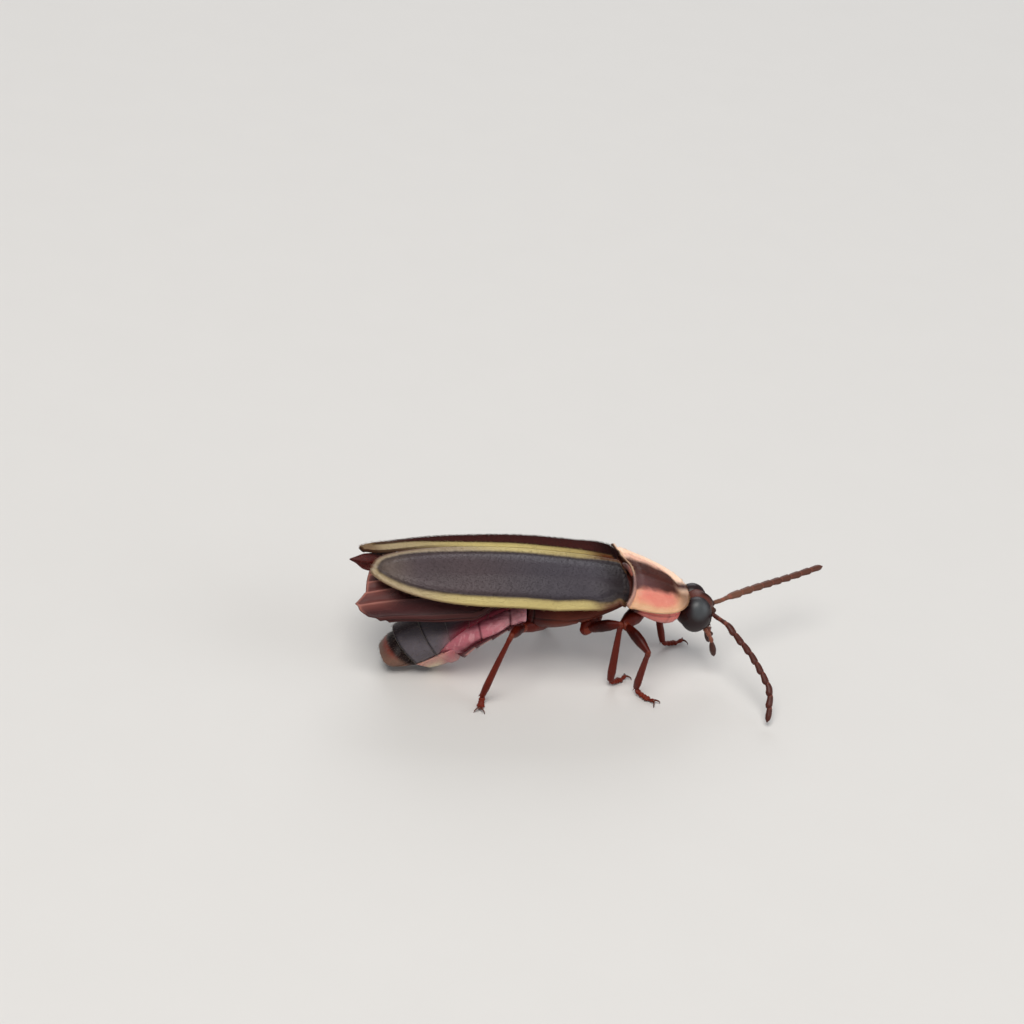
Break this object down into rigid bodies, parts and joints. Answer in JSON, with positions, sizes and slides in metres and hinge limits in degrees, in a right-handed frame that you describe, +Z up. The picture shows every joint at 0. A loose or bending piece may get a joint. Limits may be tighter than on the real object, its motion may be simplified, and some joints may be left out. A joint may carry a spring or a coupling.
{
  "type": "firefly",
  "caption": "Life-size firefly standing on its feet: long striped wing cases a little apart, drooping ringed abdomen, flat neck shield, large dark eyes and long feelers.",
  "frame": {"origin": "on the floor under the middle of the whole outline, feelers and wing tips included", "axes": "+X the way the animal faces, +Y its left side, +Z up"},
  "size_m": [0.0188, 0.0078, 0.0052],
  "materials": {
    "wing_case": "satin slate grey with yellow stripes along both edges",
    "wing": "thin brown membrane with dark pleats",
    "shield": "satin, cream rim, rosy disc and dark middle",
    "flesh": "satin rose red",
    "body": "satin dark brown",
    "eye": "gloss black with a fine grain of facets",
    "feeler": "dull dark brown with fine hairs",
    "lantern": "satin cream light organ below, grey plates above",
    "belly": "satin grey plates over rosy skin",
    "leg": "satin dark red-brown with fine hairs"
  },
  "bodies": {
    "root": {"abdomen_1": "belly", "abdomen_2": "belly", "abdomen_3": "belly", "abdomen_4": "belly", "abdomen_5": "lantern", "abdomen_6": "lantern", "abdomen_7": "belly", "antenna_left": "feeler", "antenna_right": "feeler", "coxa_front_left": "leg", "coxa_front_right": "leg", "coxa_hind_left": "leg", "coxa_hind_right": "leg", "coxa_middle_left": "leg", "coxa_middle_right": "leg", "elytron_left": "wing_case", "elytron_right": "wing_case", "eye_left": "eye", "eye_right": "eye", "femur_front_left": "leg", "femur_front_right": "leg", "femur_hind_left": "leg", "femur_hind_right": "leg", "femur_middle_left": "leg", "femur_middle_right": "leg", "head": "body", "hind_wing_left": "wing", "hind_wing_right": "wing", "palp_left": "feeler", "palp_right": "feeler", "pronotum": "shield", "prothorax": "flesh", "scutellum": "flesh", "tarsus_front_left": "leg", "tarsus_front_right": "leg", "tarsus_hind_left": "leg", "tarsus_hind_right": "leg", "tarsus_middle_left": "leg", "tarsus_middle_right": "leg", "thorax": "body", "tibia_front_left": "leg", "tibia_front_right": "leg", "tibia_hind_left": "leg", "tibia_hind_right": "leg", "tibia_middle_left": "leg", "tibia_middle_right": "leg"}
  },
  "joints": []
}
